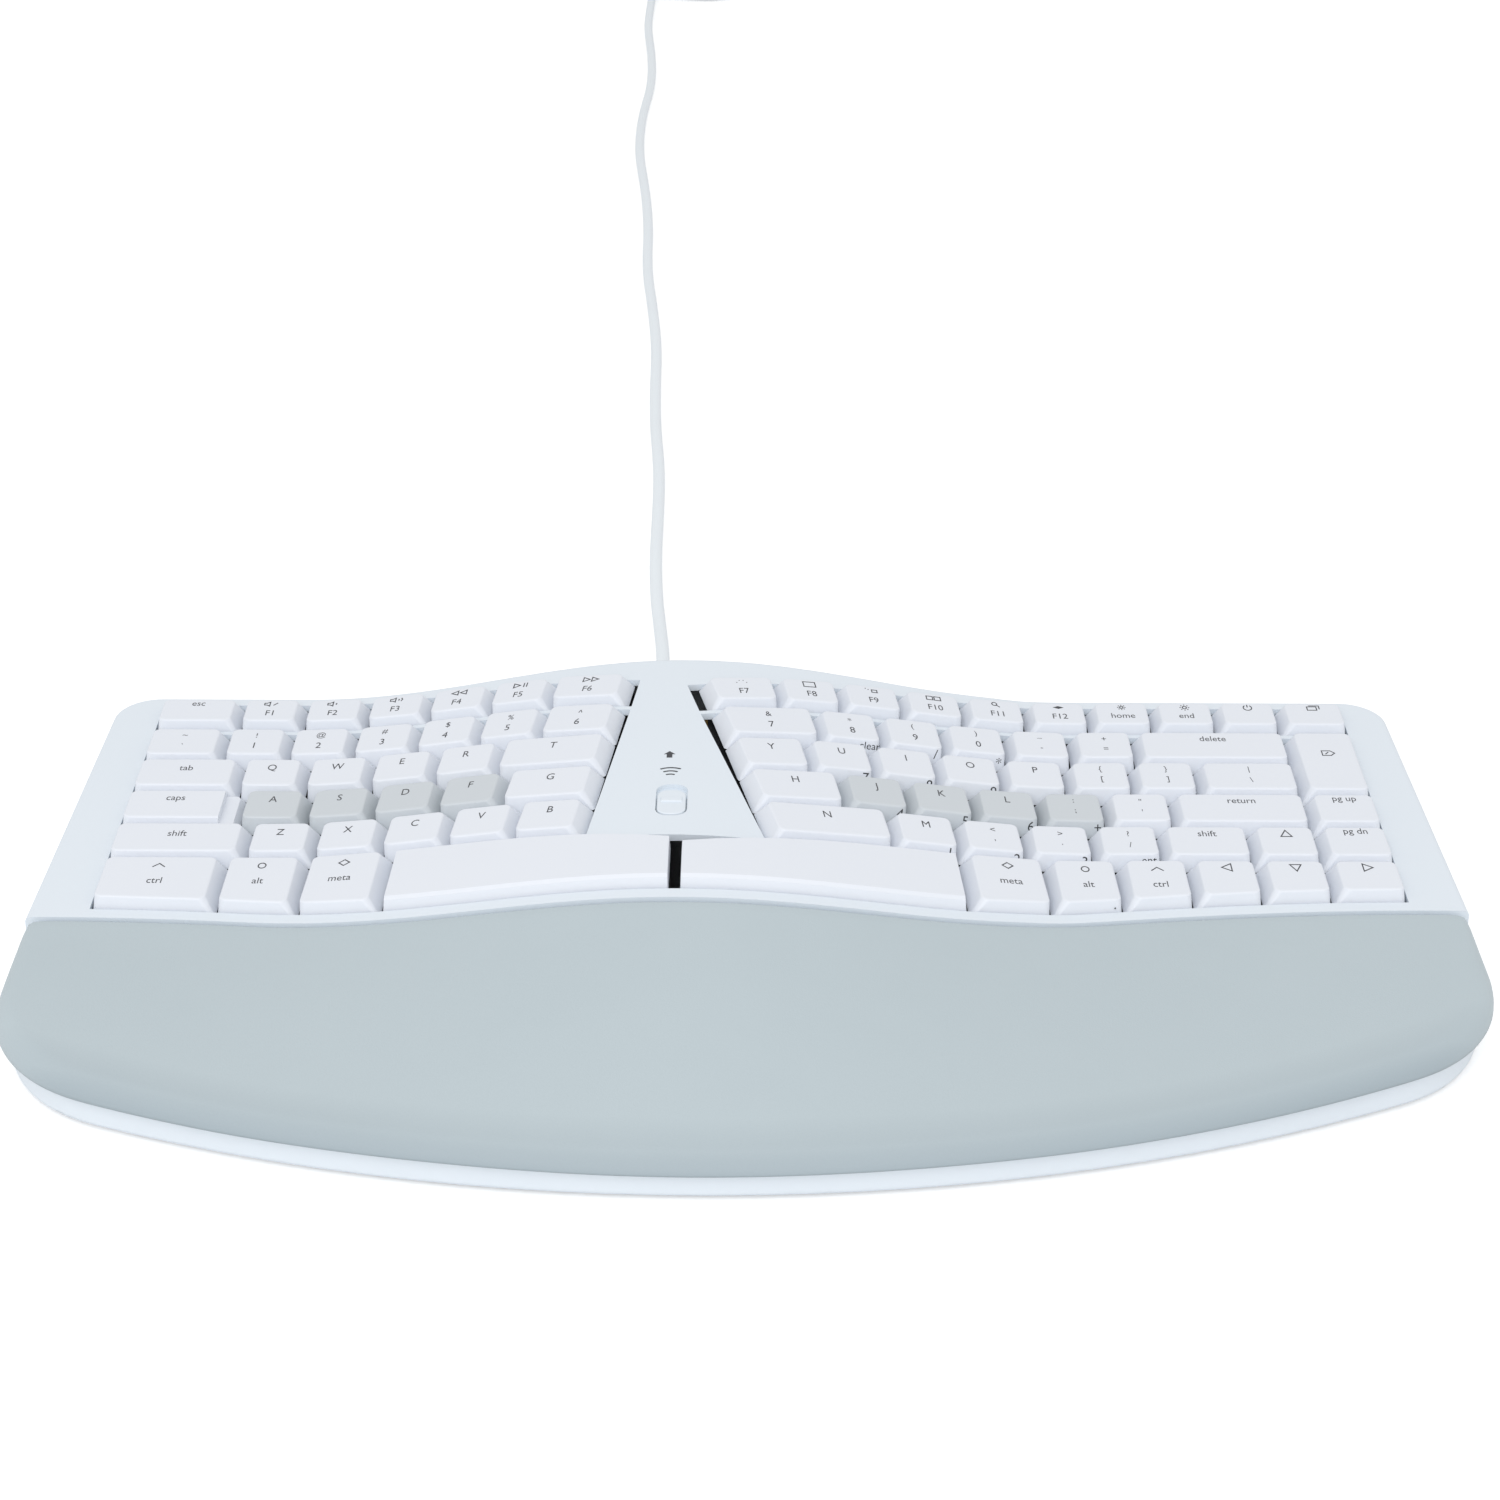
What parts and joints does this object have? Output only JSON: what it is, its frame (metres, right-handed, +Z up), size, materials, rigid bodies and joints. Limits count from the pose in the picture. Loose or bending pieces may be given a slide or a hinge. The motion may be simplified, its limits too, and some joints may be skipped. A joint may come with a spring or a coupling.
{
  "type": "ergonomic keyboard",
  "caption": "Low white keyboard with two key fields that turn and rise to a centre spine, a wide soft palm rest, and a long USB cable.",
  "frame": {"origin": "on the desk, under the middle of the keyboard's body without its cable", "axes": "+X to the typist's right, +Y to the back, where the cable leaves, +Z up"},
  "size_m": [0.3896, 1.2598, 0.0359],
  "materials": {
    "key_white": "satin",
    "shell_white": "satin",
    "palm_cushion": "matte",
    "plate_steel": "satin",
    "board_green": "satin",
    "switch_black": "satin",
    "battery_silver": "satin",
    "small_steel": "satin",
    "ribbon_tan": "satin",
    "foot_rubber": "matte",
    "cable_white": "matte",
    "tie_grey": "matte"
  },
  "bodies": {
    "base": {"bottom_shell": "shell_white", "top_shell": "shell_white", "palm_pad": "palm_cushion", "palm_rest_plate": "shell_white", "switch_plates": "plate_steel", "circuit_board_left": "board_green", "circuit_board_right": "board_green", "switch_housings": "switch_black", "key_stabilisers": "switch_black", "battery": "battery_silver", "controller_board": "board_green", "usb_socket": "small_steel", "board_link_cable": "ribbon_tan", "slide_switch_body": "switch_black", "rubber_feet": "foot_rubber", "tilt_foot_pins": "small_steel", "case_screws": "small_steel", "usb_c_plug": "cable_white", "usb_cable": "cable_white", "usb_cable_coil": "cable_white", "cable_tie": "tie_grey", "usb_a_plug": "cable_white"},
    "key_escape": {"key_escape": "key_white"},
    "keys_f1_to_f6": {"keys_f1_to_f6": "key_white"},
    "keys_f7_to_f12": {"keys_f7_to_f12": "key_white"},
    "keys_home_to_screens": {"keys_home_to_screens": "key_white"},
    "keys_grave_to_6": {"keys_grave_to_6": "key_white"},
    "keys_7_to_equals": {"keys_7_to_equals": "key_white"},
    "key_delete": {"key_delete": "key_white"},
    "key_forward_delete": {"key_forward_delete": "key_white"},
    "key_tab": {"key_tab": "key_white"},
    "keys_q_to_t": {"keys_q_to_t": "key_white"},
    "keys_y_to_backslash": {"keys_y_to_backslash": "key_white"},
    "key_caps_lock": {"key_caps_lock": "key_white"},
    "keys_a_to_f": {"keys_a_to_f": "key_white"},
    "key_g": {"key_g": "key_white"},
    "key_h": {"key_h": "key_white"},
    "keys_j_to_semicolon": {"keys_j_to_semicolon": "key_white"},
    "key_quote": {"key_quote": "key_white"},
    "key_return": {"key_return": "key_white"},
    "key_shift_left": {"key_shift_left": "key_white"},
    "keys_z_to_b": {"keys_z_to_b": "key_white"},
    "keys_n_to_slash": {"keys_n_to_slash": "key_white"},
    "key_shift_right": {"key_shift_right": "key_white"},
    "keys_page_up_down": {"keys_page_up_down": "key_white"},
    "key_control_left": {"key_control_left": "key_white"},
    "key_option_left": {"key_option_left": "key_white"},
    "key_command_left": {"key_command_left": "key_white"},
    "key_command_right": {"key_command_right": "key_white"},
    "key_option_right": {"key_option_right": "key_white"},
    "key_control_right": {"key_control_right": "key_white"},
    "key_arrow_up": {"key_arrow_up": "key_white"},
    "key_arrow_left": {"key_arrow_left": "key_white"},
    "key_arrow_down": {"key_arrow_down": "key_white"},
    "key_arrow_right": {"key_arrow_right": "key_white"},
    "key_space_left": {"key_space_left": "key_white"},
    "key_space_right": {"key_space_right": "key_white"},
    "slide_switch_knob": {"slide_switch_knob": "shell_white"},
    "tilt_foot_left": {"tilt_foot_left": "shell_white"},
    "tilt_foot_right": {"tilt_foot_right": "shell_white"}
  },
  "joints": [
    {"name": "key_escape_press", "type": "slide", "parent": "base", "child": "key_escape", "axis": [0, 0, -1], "range_m": [0, 0.003], "stiffness_N_per_m": 120, "springref_m": -0.002},
    {"name": "keys_f1_to_f6_press", "type": "slide", "parent": "base", "child": "keys_f1_to_f6", "axis": [0.1222, 0.0122, -0.9924], "range_m": [0, 0.003], "stiffness_N_per_m": 720, "springref_m": -0.002},
    {"name": "keys_f7_to_f12_press", "type": "slide", "parent": "base", "child": "keys_f7_to_f12", "axis": [-0.13, 0.016, -0.9914], "range_m": [0, 0.003], "stiffness_N_per_m": 720, "springref_m": -0.002},
    {"name": "keys_home_to_screens_press", "type": "slide", "parent": "base", "child": "keys_home_to_screens", "axis": [0, 0, -1], "range_m": [0, 0.003], "stiffness_N_per_m": 480, "springref_m": -0.002},
    {"name": "keys_grave_to_6_press", "type": "slide", "parent": "base", "child": "keys_grave_to_6", "axis": [0.0985, 0.01, -0.9951], "range_m": [0, 0.003], "stiffness_N_per_m": 840, "springref_m": -0.002},
    {"name": "keys_7_to_equals_press", "type": "slide", "parent": "base", "child": "keys_7_to_equals", "axis": [-0.1145, 0.0127, -0.9933], "range_m": [0, 0.003], "stiffness_N_per_m": 720, "springref_m": -0.002},
    {"name": "key_delete_press", "type": "slide", "parent": "base", "child": "key_delete", "axis": [0, 0, -1], "range_m": [0, 0.003], "stiffness_N_per_m": 120, "springref_m": -0.002},
    {"name": "key_forward_delete_press", "type": "slide", "parent": "base", "child": "key_forward_delete", "axis": [0, 0, -1], "range_m": [0, 0.003], "stiffness_N_per_m": 120, "springref_m": -0.002},
    {"name": "key_tab_press", "type": "slide", "parent": "base", "child": "key_tab", "axis": [0, 0, -1], "range_m": [0, 0.003], "stiffness_N_per_m": 120, "springref_m": -0.002},
    {"name": "keys_q_to_t_press", "type": "slide", "parent": "base", "child": "keys_q_to_t", "axis": [0.1127, 0.0107, -0.9936], "range_m": [0, 0.003], "stiffness_N_per_m": 600, "springref_m": -0.002},
    {"name": "keys_y_to_backslash_press", "type": "slide", "parent": "base", "child": "keys_y_to_backslash", "axis": [-0.0847, 0.01, -0.9964], "range_m": [0, 0.003], "stiffness_N_per_m": 960, "springref_m": -0.002},
    {"name": "key_caps_lock_press", "type": "slide", "parent": "base", "child": "key_caps_lock", "axis": [0, 0, -1], "range_m": [0, 0.003], "stiffness_N_per_m": 120, "springref_m": -0.002},
    {"name": "keys_a_to_f_press", "type": "slide", "parent": "base", "child": "keys_a_to_f", "axis": [0.1038, 0.0073, -0.9946], "range_m": [0, 0.003], "stiffness_N_per_m": 480, "springref_m": -0.002},
    {"name": "key_g_press", "type": "slide", "parent": "base", "child": "key_g", "axis": [0.1426, 0.0277, -0.9894], "range_m": [0, 0.003], "stiffness_N_per_m": 120, "springref_m": -0.002},
    {"name": "key_h_press", "type": "slide", "parent": "base", "child": "key_h", "axis": [-0.127, 0.0297, -0.9915], "range_m": [0, 0.003], "stiffness_N_per_m": 120, "springref_m": -0.002},
    {"name": "keys_j_to_semicolon_press", "type": "slide", "parent": "base", "child": "keys_j_to_semicolon", "axis": [-0.1163, 0.0088, -0.9932], "range_m": [0, 0.003], "stiffness_N_per_m": 480, "springref_m": -0.002},
    {"name": "key_quote_press", "type": "slide", "parent": "base", "child": "key_quote", "axis": [0, 0, -1], "range_m": [0, 0.003], "stiffness_N_per_m": 120, "springref_m": -0.002},
    {"name": "key_return_press", "type": "slide", "parent": "base", "child": "key_return", "axis": [0, 0, -1], "range_m": [0, 0.003], "stiffness_N_per_m": 120, "springref_m": -0.002},
    {"name": "key_shift_left_press", "type": "slide", "parent": "base", "child": "key_shift_left", "axis": [0, 0, -1], "range_m": [0, 0.003], "stiffness_N_per_m": 120, "springref_m": -0.002},
    {"name": "keys_z_to_b_press", "type": "slide", "parent": "base", "child": "keys_z_to_b", "axis": [0.1141, 0.0126, -0.9934], "range_m": [0, 0.003], "stiffness_N_per_m": 600, "springref_m": -0.002},
    {"name": "keys_n_to_slash_press", "type": "slide", "parent": "base", "child": "keys_n_to_slash", "axis": [-0.0941, 0.0093, -0.9955], "range_m": [0, 0.003], "stiffness_N_per_m": 600, "springref_m": -0.002},
    {"name": "key_shift_right_press", "type": "slide", "parent": "base", "child": "key_shift_right", "axis": [0, 0, -1], "range_m": [0, 0.003], "stiffness_N_per_m": 120, "springref_m": -0.002},
    {"name": "keys_page_up_down_press", "type": "slide", "parent": "base", "child": "keys_page_up_down", "axis": [0, 0, -1], "range_m": [0, 0.003], "stiffness_N_per_m": 240, "springref_m": -0.002},
    {"name": "key_control_left_press", "type": "slide", "parent": "base", "child": "key_control_left", "axis": [0, 0, -1], "range_m": [0, 0.003], "stiffness_N_per_m": 120, "springref_m": -0.002},
    {"name": "key_option_left_press", "type": "slide", "parent": "base", "child": "key_option_left", "axis": [0.0123, 0.0001, -0.9999], "range_m": [0, 0.003], "stiffness_N_per_m": 120, "springref_m": -0.002},
    {"name": "key_command_left_press", "type": "slide", "parent": "base", "child": "key_command_left", "axis": [0.0992, 0.0041, -0.9951], "range_m": [0, 0.003], "stiffness_N_per_m": 120, "springref_m": -0.002},
    {"name": "key_command_right_press", "type": "slide", "parent": "base", "child": "key_command_right", "axis": [-0.1051, 0.0047, -0.9945], "range_m": [0, 0.003], "stiffness_N_per_m": 120, "springref_m": -0.002},
    {"name": "key_option_right_press", "type": "slide", "parent": "base", "child": "key_option_right", "axis": [-0.0259, 0.0003, -0.9997], "range_m": [0, 0.003], "stiffness_N_per_m": 120, "springref_m": -0.002},
    {"name": "key_control_right_press", "type": "slide", "parent": "base", "child": "key_control_right", "axis": [0, 0, -1], "range_m": [0, 0.003], "stiffness_N_per_m": 120, "springref_m": -0.002},
    {"name": "key_arrow_up_press", "type": "slide", "parent": "base", "child": "key_arrow_up", "axis": [0, 0, -1], "range_m": [0, 0.003], "stiffness_N_per_m": 120, "springref_m": -0.002},
    {"name": "key_arrow_left_press", "type": "slide", "parent": "base", "child": "key_arrow_left", "axis": [0, 0, -1], "range_m": [0, 0.003], "stiffness_N_per_m": 120, "springref_m": -0.002},
    {"name": "key_arrow_down_press", "type": "slide", "parent": "base", "child": "key_arrow_down", "axis": [0, 0, -1], "range_m": [0, 0.003], "stiffness_N_per_m": 120, "springref_m": -0.002},
    {"name": "key_arrow_right_press", "type": "slide", "parent": "base", "child": "key_arrow_right", "axis": [0, 0, -1], "range_m": [0, 0.003], "stiffness_N_per_m": 120, "springref_m": -0.002},
    {"name": "key_space_left_press", "type": "slide", "parent": "base", "child": "key_space_left", "axis": [0.1339, 0.026, -0.9906], "range_m": [0, 0.003], "stiffness_N_per_m": 120, "springref_m": -0.002},
    {"name": "key_space_right_press", "type": "slide", "parent": "base", "child": "key_space_right", "axis": [-0.1297, 0.0268, -0.9912], "range_m": [0, 0.003], "stiffness_N_per_m": 120, "springref_m": -0.002},
    {"name": "slide_switch_travel", "type": "slide", "parent": "base", "child": "slide_switch_knob", "axis": [0, 1, 0], "range_m": [0, 0.0032]},
    {"name": "tilt_foot_left_fold", "type": "hinge", "parent": "base", "child": "tilt_foot_left", "pos_m": [-0.118, 0.096, 0.0029], "axis": [1, 0, 0], "range_deg": [0, 105]},
    {"name": "tilt_foot_right_fold", "type": "hinge", "parent": "base", "child": "tilt_foot_right", "pos_m": [0.118, 0.096, 0.0029], "axis": [1, 0, 0], "range_deg": [0, 105]}
  ]
}
